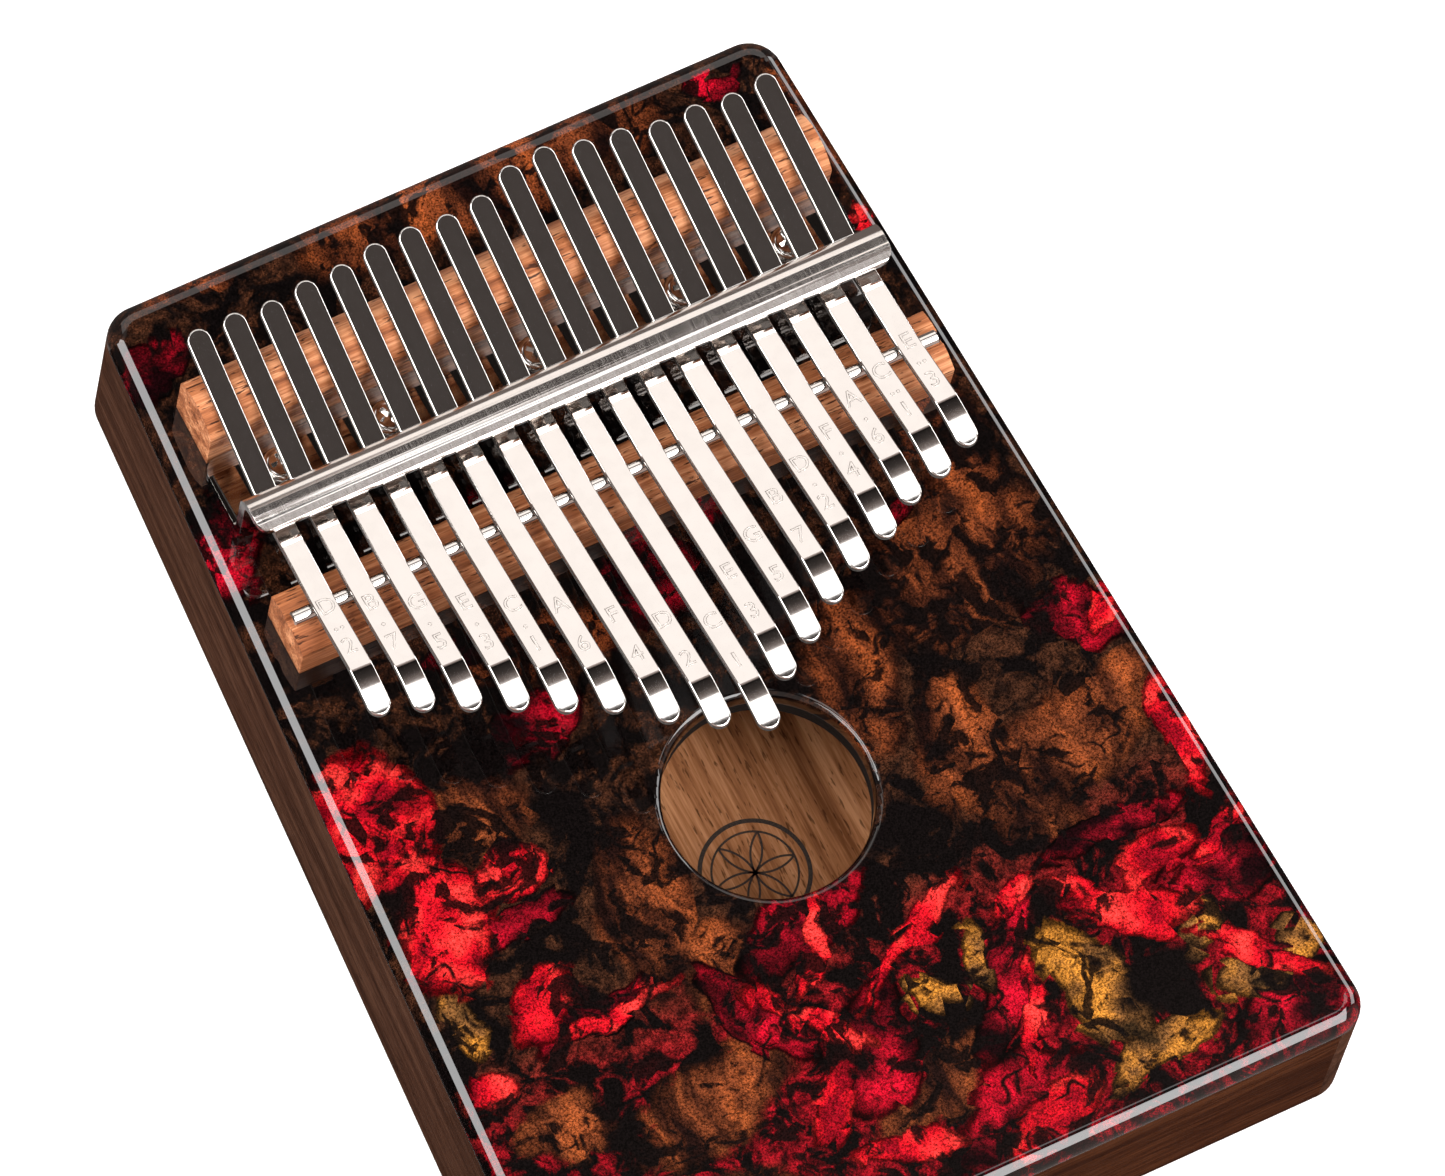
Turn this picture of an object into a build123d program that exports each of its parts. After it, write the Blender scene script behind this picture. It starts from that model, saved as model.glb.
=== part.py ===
from build123d import *
import os
from math import degrees

# A seventeen-tine sound-box mbira (kalimba), lying on its back. Millimetres, +Z up.
# The origin is the middle of the footprint at the surface that it stands on. +Y runs from
# the playing end, with the sound hole, to the fixed ends of the tines. In the building frame
# y is measured from the front end instead, and every piece is moved by CENTRE_SHIFT at the end.

# ---- Driving dimensions: the sound box ----
BODY_LENGTH = 185.0
WIDTH_FRONT = 137.0  # at the playing end
WIDTH_REAR = 116.0
RIM_HEIGHT = 28.4  # sides and ends, up to the resin
RESIN_THICKNESS = 3.2
WALL = 5.8  # sides and ends
BACK_THICKNESS = 3.0
TOP_THICKNESS = 3.0
CORNER_RADIUS = 5.5
RESIN_EDGE_RADIUS = 3.0
BACK_EDGE_RADIUS = 1.4
HOLE_Y = 71.0
HOLE_RADIUS = 16.5
HOLE_EDGE_RADIUS = 1.1

# ---- Driving dimensions: bridges, rod and pressure bracket ----
REAR_BRIDGE_Y = 161.2
REAR_BRIDGE_WIDTH = 10.4
REAR_BRIDGE_LENGTH = 107.4
REAR_BRIDGE_SIDE = 9.4  # height of its straight sides
REAR_BRIDGE_CREST = 12.0
FRONT_BRIDGE_Y = 124.5
FRONT_BRIDGE_WIDTH = 10.8
FRONT_BRIDGE_LENGTH = 112.6
FRONT_BRIDGE_SIDE = 7.4
FRONT_BRIDGE_CREST = 9.0
ROD_RADIUS = 1.25
ROD_LENGTH = 111.4
ROD_LIFT = 9.45  # rod centre above the board
ROD_END_CHAMFER = 0.25
GROOVE_CLEARANCE = 0.05  # the rod's groove is this much wider in radius
SHEET = 1.5  # bracket metal
RISER_FRONT_Y = 142.9
BRACKET_LIP_Y = 137.2
BRACKET_HEIGHT = 14.4  # above the board
BRACKET_LIP_DROP = 0.1
BRACKET_LENGTH = 109.4
BRACKET_BEND = 3.0
CROWN_Y = 139.6  # the lip starts to droop here
CROWN_RADIUS = 40.0
BRACKET_CORNER = 2.6
THROAT_RADIUS = 0.6  # inside the bend between foot and riser
LIP_EDGE_RADIUS = 0.5
SLOT_WIDTH = 4.7
SLOT_CLEARANCE = 0.4  # above and below a tine

# ---- Driving dimensions: screws ----
SCREW_X = (-44.0, -25.5, 0.0, 25.5, 44.0)
SCREW_Y = 150.3
SCREW_RADIUS = 1.5
SCREW_DEPTH = 16.0
SCREW_CLEARANCE = 0.1  # in the bracket, resin and top board
SCREW_TURN = 25.0  # degrees from one screw's recess to the next
HEAD_RADIUS = 3.0
HEAD_HEIGHT = 2.0
HEAD_EDGE_RADIUS = 1.1
RECESS_WIDTH = 0.8
RECESS_LENGTH = 3.2
RECESS_DEPTH = 1.1
BLOCK_WIDTH = 22.0
BLOCK_LENGTH = 98.0
BLOCK_HEIGHT = 12.0
BLOCK_CHAMFER = 2.0

# ---- Driving dimensions: tines ----
TINE_COUNT = 17
TINE_PITCH = 6.25  # at the bracket
TINE_FAN = 0.0033  # each tine spreads by this many radians more than its neighbour
TINE_WIDTH = 3.75
TINE_THICKNESS = 1.0
TINE_REAR_Y = (171.5, 171.6, 171.1, 171.8, 171.9, 172.8, 173.0, 172.5, 173.1,
               175.5, 176.1, 174.7, 174.0, 172.8, 172.8, 172.2, 172.9)
TINE_TIP_Y = (103.3, 100.9, 97.7, 94.4, 90.7, 87.4, 82.1, 77.9, 74.2,
              80.9, 85.0, 89.5, 92.9, 96.0, 99.7, 101.9, 104.9)
TINE_SLOT_LIFT = 8.8  # underside above the board where it passes the bracket
TINE_REST_GAP = 0.2  # running clearance over the rod
TINE_REAR_GAP = 0.4  # running clearance over the rear bridge, which the sloping tine slides along
FREE_SLOPE = 0.24  # rise of the free part towards its tip
TIP_SLOPE = -0.06
TIP_LENGTH = 8.6  # from the bend's corner to the tip
TIP_BEND_HALF = 1.0  # half the bend's length
SPLIT_AHEAD = 2.4  # the flexing part starts this far in front of the rod
SPLIT_GAP = 0.1

BOARD_Z = RIM_HEIGHT + RESIN_THICKNESS
SLOT_Y = RISER_FRONT_Y + SHEET / 2
CENTRE_SHIFT = Location((0, -BODY_LENGTH / 2, 0))


def outline(height):
    """The tapered plan of the box with rounded corners, as a solid from z = 0."""
    plan = Polygon(
        (-WIDTH_FRONT / 2, 0), (WIDTH_FRONT / 2, 0),
        (WIDTH_REAR / 2, BODY_LENGTH), (-WIDTH_REAR / 2, BODY_LENGTH), align=None)
    return extrude(fillet(plan.vertices(), CORNER_RADIUS), height)


def half_width(y):
    """Half the width of the box at y."""
    return (WIDTH_FRONT + (WIDTH_REAR - WIDTH_FRONT) * y / BODY_LENGTH) / 2


def between_sides(y_low, y_high, height):
    """The solid between the inner faces of the two sides, from y_low to y_high."""
    low, high = half_width(y_low) - WALL, half_width(y_high) - WALL
    plan = Polygon((-low, y_low), (low, y_low), (high, y_high), (-high, y_high), align=None)
    return extrude(plan, height)


def make_rim():
    """Two full-length sides, and two ends fitted between them."""
    whole = outline(RIM_HEIGHT)
    base_edges = whole.edges().group_by(Axis.Z)[0]
    whole = fillet(base_edges, BACK_EDGE_RADIUS)
    middle = between_sides(0, BODY_LENGTH, RIM_HEIGHT)
    sides = (whole - middle).solids().sort_by(Axis.X)
    front = whole & between_sides(0, WALL, RIM_HEIGHT)
    rear = whole & between_sides(BODY_LENGTH - WALL, BODY_LENGTH, RIM_HEIGHT)
    return {"side_left": sides[0], "side_right": sides[-1], "end_front": front, "end_rear": rear}


def sound_hole():
    """The cutter for the sound hole."""
    return Pos(0, HOLE_Y, BOARD_Z) * Cylinder(HOLE_RADIUS, BOARD_Z)


def screw_holes(radius, low, high):
    """Cutters for the five bracket screws between two heights."""
    middle = (low + high) / 2
    return [Pos(x, SCREW_Y, middle) * Cylinder(radius, high - low) for x in SCREW_X]


def make_boards():
    """The back, the wooden top, the resin that covers it, and the block that the screws bite."""
    inside = between_sides(WALL, BODY_LENGTH - WALL, BACK_THICKNESS)
    block_top = RIM_HEIGHT - TOP_THICKNESS
    top = Pos(0, 0, block_top) * between_sides(WALL, BODY_LENGTH - WALL, TOP_THICKNESS)
    holes = screw_holes(SCREW_RADIUS + SCREW_CLEARANCE, block_top, BOARD_Z)
    resin = Pos(0, 0, RIM_HEIGHT) * outline(RESIN_THICKNESS)
    resin = fillet(resin.edges().group_by(Axis.Z)[-1], RESIN_EDGE_RADIUS)
    resin -= sound_hole()
    rim = resin.edges().filter_by(GeomType.CIRCLE).group_by(Axis.Z)[-1]
    resin = fillet(rim.filter_by(lambda e: abs(e.radius - HOLE_RADIUS) < 0.01), HOLE_EDGE_RADIUS)
    block = Pos(0, SCREW_Y, block_top - BLOCK_HEIGHT / 2) * Box(BLOCK_LENGTH, BLOCK_WIDTH, BLOCK_HEIGHT)
    block = chamfer(block.edges().group_by(Axis.Z)[0], BLOCK_CHAMFER)
    block -= screw_holes(SCREW_RADIUS, BOARD_Z + SHEET - SCREW_DEPTH, block_top)
    return {
        "back_board": inside,
        "top_board": top - sound_hole() - holes,
        "resin_top": resin - holes,
        "screw_block": block,
    }


def bridge(y, width, length, side, crest):
    """A hardwood bridge: straight sides and a domed top."""
    low, high = y - width / 2, y + width / 2
    base, shoulder, top = BOARD_Z, BOARD_Z + side, BOARD_Z + crest
    walls = Polyline((high, shoulder), (high, base), (low, base), (low, shoulder))
    dome = ThreePointArc((low, shoulder), (y, top), (high, shoulder))
    face = Plane.YZ * make_face([walls, dome])
    return Pos(-length / 2, 0, 0) * extrude(face, length)


def make_bridges():
    """Rear bridge, grooved front bridge and the bright rod lying in its groove."""
    rear = bridge(REAR_BRIDGE_Y, REAR_BRIDGE_WIDTH, REAR_BRIDGE_LENGTH, REAR_BRIDGE_SIDE, REAR_BRIDGE_CREST)
    front = bridge(
        FRONT_BRIDGE_Y, FRONT_BRIDGE_WIDTH, FRONT_BRIDGE_LENGTH, FRONT_BRIDGE_SIDE, FRONT_BRIDGE_CREST)
    place = Pos(0, FRONT_BRIDGE_Y, BOARD_Z + ROD_LIFT) * Rot(0, 90, 0)
    front -= place * Cylinder(ROD_RADIUS + GROOVE_CLEARANCE, 2 * FRONT_BRIDGE_LENGTH)
    rod = place * Cylinder(ROD_RADIUS, ROD_LENGTH)
    rod = chamfer(rod.edges().filter_by(GeomType.CIRCLE), ROD_END_CHAMFER)
    return {"rear_bridge": rear, "front_bridge": front, "bridge_rod": rod}


def make_bracket():
    """One bent sheet: a foot screwed down, a slotted riser, and a lip over the tines."""
    foot_end = REAR_BRIDGE_Y - REAR_BRIDGE_WIDTH / 2
    top = BOARD_Z + BRACKET_HEIGHT
    lip_top = top - BRACKET_LIP_DROP
    riser_back = RISER_FRONT_Y + SHEET
    front_points = [(foot_end, BOARD_Z), (RISER_FRONT_Y, BOARD_Z), (RISER_FRONT_Y, top - SHEET),
                    (CROWN_Y, top - SHEET), (BRACKET_LIP_Y, lip_top - SHEET)]
    back_points = [(foot_end, BOARD_Z + SHEET), (riser_back, BOARD_Z + SHEET), (riser_back, top),
                   (CROWN_Y, top), (BRACKET_LIP_Y, lip_top)]
    outer_bends = [THROAT_RADIUS, BRACKET_BEND, CROWN_RADIUS]
    inner_bends = [SHEET + THROAT_RADIUS, BRACKET_BEND - SHEET, CROWN_RADIUS - SHEET]
    front = FilletPolyline(*front_points, radius=inner_bends)
    back = FilletPolyline(*back_points, radius=outer_bends)
    ends = [Line(front_points[0], back_points[0]), Line(front_points[-1], back_points[-1])]
    profile = make_face([front, back] + ends)
    profile = fillet(profile.vertices().group_by(Axis.X)[0], LIP_EDGE_RADIUS)
    sheet = Pos(-BRACKET_LENGTH / 2, 0, 0) * extrude(Plane.YZ * profile, BRACKET_LENGTH)
    plan = RectangleRounded(BRACKET_LENGTH, foot_end - BRACKET_LIP_Y, BRACKET_CORNER)
    sheet &= Pos(0, (foot_end + BRACKET_LIP_Y) / 2, 0) * extrude(plan, 2 * BOARD_Z)
    slot_low = BOARD_Z + TINE_SLOT_LIFT - SLOT_CLEARANCE
    slot_high = BOARD_Z + TINE_SLOT_LIFT + TINE_THICKNESS + SLOT_CLEARANCE
    for i in range(TINE_COUNT):
        place = Pos(tine_x(i), SLOT_Y, (slot_low + slot_high) / 2)
        sheet -= place * Box(SLOT_WIDTH, 2 * SHEET, slot_high - slot_low)
    return sheet - screw_holes(SCREW_RADIUS + SCREW_CLEARANCE, BOARD_Z - SHEET, BOARD_Z + 2 * SHEET)


def make_screws():
    """Five pan-head screws with crossed recesses."""
    seat = BOARD_Z + SHEET
    head = Pos(0, 0, seat + HEAD_HEIGHT / 2) * Cylinder(HEAD_RADIUS, HEAD_HEIGHT)
    head = fillet(head.edges().group_by(Axis.Z)[-1], HEAD_EDGE_RADIUS)
    shank = Pos(0, 0, seat - SCREW_DEPTH / 2) * Cylinder(SCREW_RADIUS, SCREW_DEPTH)
    recess = Pos(0, 0, seat + HEAD_HEIGHT)
    arm = Box(RECESS_LENGTH, RECESS_WIDTH, 2 * RECESS_DEPTH)
    screw = head + shank - recess * arm - recess * Rot(0, 0, 90) * arm
    return Compound(
        children=[Pos(x, SCREW_Y, 0) * Rot(0, 0, SCREW_TURN * n) * screw for n, x in enumerate(SCREW_X)])


def tine_x(i):
    """Where tine i crosses the bracket."""
    return (i - (TINE_COUNT - 1) / 2) * TINE_PITCH


def tine_place(i):
    """Turns a tine about the bracket by its share of the fan, and moves it to its slot."""
    turn = degrees((i - (TINE_COUNT - 1) / 2) * TINE_FAN)
    return Pos(tine_x(i), SLOT_Y, 0) * Rot(0, 0, turn) * Pos(0, -SLOT_Y, 0)


def tine_side(rear_y, tip_y):
    """The side view of a tine: over the rear bridge, down through the slot, over the rod, and up."""
    slot_z = BOARD_Z + TINE_SLOT_LIFT
    crest_z = BOARD_Z + REAR_BRIDGE_CREST + TINE_REAR_GAP
    rod_z = BOARD_Z + ROD_LIFT + ROD_RADIUS + TINE_REST_GAP
    rear_slope = (crest_z - slot_z) / (REAR_BRIDGE_Y - SLOT_Y)
    bend_y = tip_y + TIP_LENGTH
    bend_z = rod_z + (FRONT_BRIDGE_Y - bend_y) * FREE_SLOPE
    tip_z = bend_z + TIP_LENGTH * TIP_SLOPE
    under = [
        (rear_y, slot_z + (rear_y - SLOT_Y) * rear_slope), (SLOT_Y, slot_z), (FRONT_BRIDGE_Y, rod_z),
        (bend_y + TIP_BEND_HALF, bend_z - TIP_BEND_HALF * FREE_SLOPE),
        (bend_y - TIP_BEND_HALF, bend_z + TIP_BEND_HALF * TIP_SLOPE), (tip_y, tip_z)]
    over = [(y, z + TINE_THICKNESS) for y, z in under]
    leave = (-1, FREE_SLOPE)
    edges = []
    for line in (under, over):
        edges += [Polyline(*line[:4]), TangentArc(line[3], line[4], tangent=leave), Line(line[4], line[5])]
    edges += [Line(under[0], over[0]), Line(under[-1], over[-1])]
    return Plane.YZ * make_face(edges)


def make_tine(i):
    """Tine i as two pieces: the clamped shank, and the tongue that flexes when it is plucked."""
    rear_y, tip_y = TINE_REAR_Y[i], TINE_TIP_Y[i]
    strip = Pos(-TINE_WIDTH / 2, 0, 0) * extrude(tine_side(rear_y, tip_y), TINE_WIDTH)
    plan = SlotOverall(rear_y - tip_y, TINE_WIDTH, rotation=90)
    trim = Pos(0, (rear_y + tip_y) / 2, BOARD_Z) * extrude(plan, 2 * BOARD_Z)
    strip = strip & trim
    split = FRONT_BRIDGE_Y - SPLIT_AHEAD
    reach = BODY_LENGTH
    behind = Pos(0, split + (SPLIT_GAP + reach) / 2, BOARD_Z) * Box(reach, reach, 2 * BOARD_Z)
    ahead = Pos(0, split - (SPLIT_GAP + reach) / 2, BOARD_Z) * Box(reach, reach, 2 * BOARD_Z)
    return {
        f"tine_{i + 1:02d}_shank": tine_place(i) * (strip & behind),
        f"tine_{i + 1:02d}_tongue": tine_place(i) * (strip & ahead),
    }


def main():
    parts = {**make_rim(), **make_boards(), **make_bridges()}
    parts["bracket"] = make_bracket()
    parts["bracket_screws"] = make_screws()
    for i in range(TINE_COUNT):
        parts.update(make_tine(i))
    os.makedirs("parts", exist_ok=True)
    for name, shape in parts.items():
        export_step(CENTRE_SHIFT * shape, f"parts/{name}.step")


main()
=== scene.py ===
import math

import bmesh
import bpy
from mathutils import Matrix, Vector


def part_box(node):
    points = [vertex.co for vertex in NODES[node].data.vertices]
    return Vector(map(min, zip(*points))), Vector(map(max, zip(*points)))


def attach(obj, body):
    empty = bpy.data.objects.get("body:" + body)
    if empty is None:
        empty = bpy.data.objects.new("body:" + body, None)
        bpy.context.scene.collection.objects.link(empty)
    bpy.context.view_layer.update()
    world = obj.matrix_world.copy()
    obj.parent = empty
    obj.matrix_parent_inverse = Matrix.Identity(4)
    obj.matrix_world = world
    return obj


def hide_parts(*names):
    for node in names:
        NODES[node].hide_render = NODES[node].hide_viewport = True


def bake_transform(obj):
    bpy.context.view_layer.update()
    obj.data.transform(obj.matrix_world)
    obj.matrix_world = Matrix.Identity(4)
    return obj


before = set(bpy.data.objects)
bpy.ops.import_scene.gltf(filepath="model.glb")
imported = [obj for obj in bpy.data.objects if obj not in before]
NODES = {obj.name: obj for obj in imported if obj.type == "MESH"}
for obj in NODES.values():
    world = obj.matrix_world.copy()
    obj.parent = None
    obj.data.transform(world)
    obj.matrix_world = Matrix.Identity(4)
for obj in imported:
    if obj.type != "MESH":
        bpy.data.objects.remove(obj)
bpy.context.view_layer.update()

MM = 0.001

# ---- Camera: beyond the playing end's left corner, high up, nearly without perspective ----
CAMERA_AZIMUTH = -41.6
CAMERA_ELEVATION = 67.615
CAMERA_ROLL = 15.54
CAMERA_DISTANCE = 2.6434
CAMERA_TARGET = Vector((0.01779, 0.02156, 0.0))
CAMERA_LENS = 423.9
CAMERA_SENSOR = 36.0
CAMERA_CLIP_END = 100.0

# ---- Studio, in metres: softboxes given by two edge directions seen from the object, width, radiance ----
STUDIO_RADIUS = 6.0
SOFTBOXES = {
    "overhead_strip": ((0.25, 0.03, 0.97), (0.25, 0.195, 0.95), 5.0, (1.9, 1.9, 1.9)),
    "rear_panel": ((0.25, 0.45, 0.86), (0.25, 0.86, 0.45), 6.0, (1.08, 1.03, 0.99)),
    "front_softbox": ((0.30, -0.16, 0.94), (0.30, -0.82, 0.48), 3.2, (8.2, 8.2, 8.2)),
    "left_softbox": ((-0.32, 0.12, 0.93), (-0.88, 0.12, 0.42), 4.2, (7.0, 7.0, 7.0)),
    "right_softbox": ((0.79, 0.12, 0.58), (0.95, 0.12, 0.244), 4.2, (5.0, 5.0, 5.0)),
}
# brightness of the room by how far a direction leans towards the fixed ends of the tines
ROOM = ((-1.0, 0.5), (-0.32, 0.45), (-0.20, 0.08), (-0.13, 0.058), (0.02, 0.058), (0.19, 0.30),
        (0.26, 0.05), (0.33, 0.008), (0.37, 0.01), (0.43, 0.5), (0.47, 0.16), (1.0, 0.16))
ROOM_TINT = (1.0, 0.82, 0.75)
BACKDROP_RADIUS = 12.0
FLOOR_COLOUR = (0.75, 0.75, 0.75, 1.0)
FLOOR_GLOW = 0.5
BACKDROP_GLOW = 1.0
WHITE = (1, 1, 1, 1)
BLACK = (0, 0, 0, 1)

# ---- Box and sound hole, in millimetres; y is measured from the middle of the box ----
BOARD_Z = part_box("resin_top")[1].z / MM  # the top of the resin
RESIN_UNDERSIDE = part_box("resin_top")[0].z / MM
HALF_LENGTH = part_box("side_left")[1].y / MM
HOLE_Y = 71.0 - HALF_LENGTH
HOLE_RADIUS = 16.5
BORE_DARK = (0.012, 0.010, 0.009)

# ---- Rounded edges of the carried-over nodes, in millimetres ----
WALL_EDGE = 0.12
BRIDGE_EDGE = 0.25
BRACKET_EDGE = 0.12
SCREW_EDGE = 0.08
SHARP_ANGLE = 35.0  # only edges that turn by more than this are rounded, degrees
WELD_REACH = 0.001

# ---- Tines, as the CAD has them ----
SLOT_Y = 143.65 - HALF_LENGTH
REAR_BRIDGE_Y = (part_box("rear_bridge")[0].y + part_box("rear_bridge")[1].y) / 2 / MM
ROD_Y = (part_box("bridge_rod")[0].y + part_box("bridge_rod")[1].y) / 2 / MM
TINE_COUNT = 17
TINE_PITCH = 6.25
TINE_FAN = 0.0033  # turn from one tine to the next, radians
TINE_WIDTH = 3.75
TINE_THICKNESS = 1.0
SLOT_LIFT = 8.8  # of the underside above the resin, in the bracket's slot
REST_GAP = 0.2  # of the underside over the rod
REAR_GAP = 0.4  # of the underside over the rear bridge
FREE_SLOPE = 0.24
TIP_LENGTH = 8.6
TIP_FIRST_SLOPE = 0.035
TIP_LAST_SLOPE = -0.155
SPLIT_AHEAD = 2.4  # from the rod to where the CAD splits a tine into shank and tongue
BLEND_HALF = 1.5  # half the length, around the split, over which the strip is divided more closely

# ---- Tines, how their meshes are divided ----
TINE_EDGE = 0.24  # radius of the rounded upper edge
TINE_LOWER_EDGE = 0.03
EDGE_FLAT = 0.05  # narrow flat strip on each side of a rounded edge, which keeps its shading crisp
EDGE_STEPS = 4
END_STEPS = 9
SLOT_CORNER = 0.6  # half the length over which the bend at the slot is rounded
ROD_CORNER = 0.9
TIP_CORNER = 0.9
CORNER_STEPS = 4
BLEND_STEPS = 3
SPAN_STEPS = 8
STATION_GAP = 0.12  # the least distance between two divisions
POLISHED, ENGRAVED, SHEARED = range(3)  # the materials of a tine

# ---- Notes: letter, digit and number of octave dots, from the leftmost tine to the rightmost ----
NOTES = (("D", "2", 2), ("B", "7", 1), ("G", "5", 1), ("E", "3", 1), ("C", "1", 1), ("A", "6", 0),
         ("F", "4", 0), ("D", "2", 0), ("C", "1", 0), ("E", "3", 0), ("G", "5", 0), ("B", "7", 0),
         ("D", "2", 1), ("F", "4", 1), ("A", "6", 1), ("C", "1", 2), ("E", "3", 2))
GLYPH_SIZE = 4.0
GLYPH_LINE = 0.09
GLYPH_SINK = 0.035
GLYPH_RESOLUTION = 4
LETTER_AT = 20.0  # from the tip
DOTS_AT = 15.7
DIGIT_AT = 12.2
DOT_RADIUS = 0.28
DOT_SPACING = 1.0
DOT_SIDES = 12

# ---- Rosette on the inside of the back ----
ROSETTE_Y = 69.0 - HALF_LENGTH
ROSETTE_RADIUS = 8.6
ROSETTE_INSET = 1.8  # of the inner ring from the outer one
ROSETTE_LINE = 0.7
ROSETTE_RELIEF = 0.04
RIBBON_TURN = 6  # degrees per step
RIBBON_STEPS = 6  # at least

# ---- Woods: the grain's axis, dark, middle and light tone, depth of the pores, roughness, gloss ----
WOODS = {
    "walnut": (
        1, ((0.023, 0.008, 0.004), (0.044, 0.017, 0.009), (0.068, 0.029, 0.016)), 0.5, 0.65, 0.02),
    # walnut for the end boards, grain along x; its tones are darker than the side walls' as painted shade on
    # the front end
    "walnut_end": (
        0, ((0.015, 0.0035, 0.001), (0.032, 0.008, 0.002), (0.062, 0.018, 0.005)), 0.4, 0.65, 0.02),
    "inner_wood": (
        1, ((0.17, 0.060, 0.022), (0.38, 0.155, 0.064), (0.58, 0.27, 0.125)), 0.7, 0.75, 0.03),
    "plain_maple": (
        1, ((0.26, 0.17, 0.10), (0.38, 0.26, 0.16), (0.50, 0.36, 0.24)), 0.2, 0.7, 0.08),
    "mahogany": (
        0, ((0.13, 0.035, 0.012), (0.36, 0.120, 0.045), (0.66, 0.30, 0.145)), 0.95, 0.5, 0.15),
}
GRAIN_STRETCH = 0.045
PORE_STRETCH = 0.16

# ---- Plated metals: colour, roughness, depth of the hairlines, height below which painted shade darkens them ----
METALS = {
    # the nickel bracket is darkened as painted shade on its foot, up to 4 mm above the resin
    "nickel": ((0.80, 0.76, 0.73), 0.16, 0.01, BOARD_Z + 4.0),
    "bright_rod": ((0.84, 0.81, 0.78), 0.07, 0.02, 0.0),
    "screw_steel": ((0.80, 0.78, 0.76), 0.10, 0.03, 0.0),
    "tine_steel": ((0.82, 0.79, 0.765), 0.06, 0.02, 0.0),
    "engraved_steel": ((0.50, 0.46, 0.43), 0.4, 0.02, 0.0),
}

# ---- Printed leaves: x, y from the front end of the box, half length, half width, turn in degrees ----
BRIGHT_LEAVES = (
    (-57, 93, 13, 9, 80), (-55, 73, 12, 8, 70), (-42, 77, 6, 4, 20), (-47, 55, 7, 5, 20),
    (-60, 46, 4, 3, 0), (9, 41, 14, 2.2, 29), (26, 41, 5, 2.2, 25), (42, 31, 11, 3.6, -25),
    (50, 37, 8, 3, 15), (57, 17, 12, 1.8, -37), (-11, 36, 11, 2.2, -50), (-13, 23, 9, 3.4, 50),
    (15, 6, 10, 5, 25), (-7, 11, 9, 3, -15), (36, 36, 8, 1.6, -45), (63, 54, 11, 3, 85),
    (57, 150, 3, 3, 0), (-38, 49, 12, 1.4, 8), (20, 22, 10, 1.3, 65), (62, 78, 5, 2, 40),
    (-5, 47, 9, 1.5, 60), (60, 36, 7, 1.5, 20))
DARK_RED_LEAVES = (
    (57, 78, 10, 5, -25), (58, 7, 11, 8, 10), (-27, 96, 8, 5, 20), (-4, 51, 14, 5, 25), (-57, 142, 9, 6, 65),
    (0, 112, 7, 10, 0), (14, 122, 5, 8, 0), (-16, 128, 6, 8, 0), (57, 30, 10, 6, 20), (-44, 69, 9, 3, 10),
    (-54, 174, 6, 4, 30), (20, 30, 16, 4, 55), (40, 104, 5, 2, 20), (-32, 112, 6, 3, 0), (46, 180, 5, 2, 0),
    (-18, 40, 12, 4, -60), (-4, 28, 12, 6, 60), (12, 9, 14, 8, 20), (45, 44, 14, 3, 0), (-40, 50, 12, 3, 5))
COPPER_LEAVES = (
    (-42, 87, 10, 8, 20), (-25, 63, 16, 8, 75), (-20, 50, 9, 5, 40), (-52, 37, 9, 6, 0), (-30, 30, 18, 7, 20),
    (2, 18, 13, 4.5, 22), (21, 84, 15, 8, 80), (43, 93, 18, 13, 15), (46, 60, 18, 9, 10), (31, 66, 13, 8, 80),
    (6, 180, 34, 8, 0), (57, 168, 12, 6, 80), (52, 112, 16, 8, 80), (-36, 12, 14, 8, 0), (-5, 150, 20, 6, 0),
    (-42, 184, 10, 3, 0), (30, 152, 14, 6, 0), (-20, 108, 14, 6, 0), (36, 52, 10, 5, -40), (56, 64, 8, 5, 60))
TAN_LEAVES = (
    (31, 22, 12, 6, 105), (36, 9, 11, 3.5, 15), (53, 14, 7, 3.5, -20), (50, 24, 5, 2.5, 30),
    (-60, 57, 6, 3, 80), (64, 16, 4, 3, 0), (8, 31, 5, 2, -50), (16, 34, 6, 2.5, 80))
BLACK_LEAVES = ((41, 20, 8, 6, 30), (-30, 82, 5, 7, 0), (15, 58, 6, 5, 0), (-45, 62, 10, 2, -30))
LEAF_REACH = 1.3  # how far a leaf is felt, in its own half sizes
LEAF_DEPTH = 1000.0  # so deep that the height of a point doesn't matter

# ---- Colours of the print, each at a place on a noise that runs from 0 to 1 ----
INK = (0.003, 0.002, 0.002)
CLEAR_EDGE = (0.03, 0.028, 0.028)  # the resin above the print, seen from the side
DIM_BROWN = ((0.35, (0.008, 0.004, 0.003)), (0.68, (0.065, 0.022, 0.010)))
DIM_RED = ((0.35, (0.02, 0.001, 0.002)), (0.68, (0.33, 0.005, 0.012)))
COPPER = ((0.38, (0.012, 0.004, 0.003)), (0.47, (0.055, 0.014, 0.006)), (0.57, (0.17, 0.040, 0.013)),
          (0.70, (0.36, 0.080, 0.020)))
DARK_RED = ((0.38, (0.010, 0.001, 0.002)), (0.48, (0.11, 0.002, 0.006)), (0.66, (0.50, 0.004, 0.018)))
BRIGHT_RED = ((0.38, (0.22, 0.002, 0.008)), (0.50, (0.62, 0.006, 0.014)), (0.64, (0.90, 0.040, 0.035)))
TAN = ((0.36, (0.035, 0.018, 0.007)), (0.48, (0.19, 0.078, 0.022)), (0.62, (0.50, 0.19, 0.026)))
RED_GROUND_Y, BROWN_GROUND_Y = -59.0, -37.0  # the ground between the leaves changes from one to the other
FIBRE_TURN = 35.0  # of the streaks in the copper leaves, degrees
FIBRE_STRETCH = (1.7, 0.55, 1)

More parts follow.
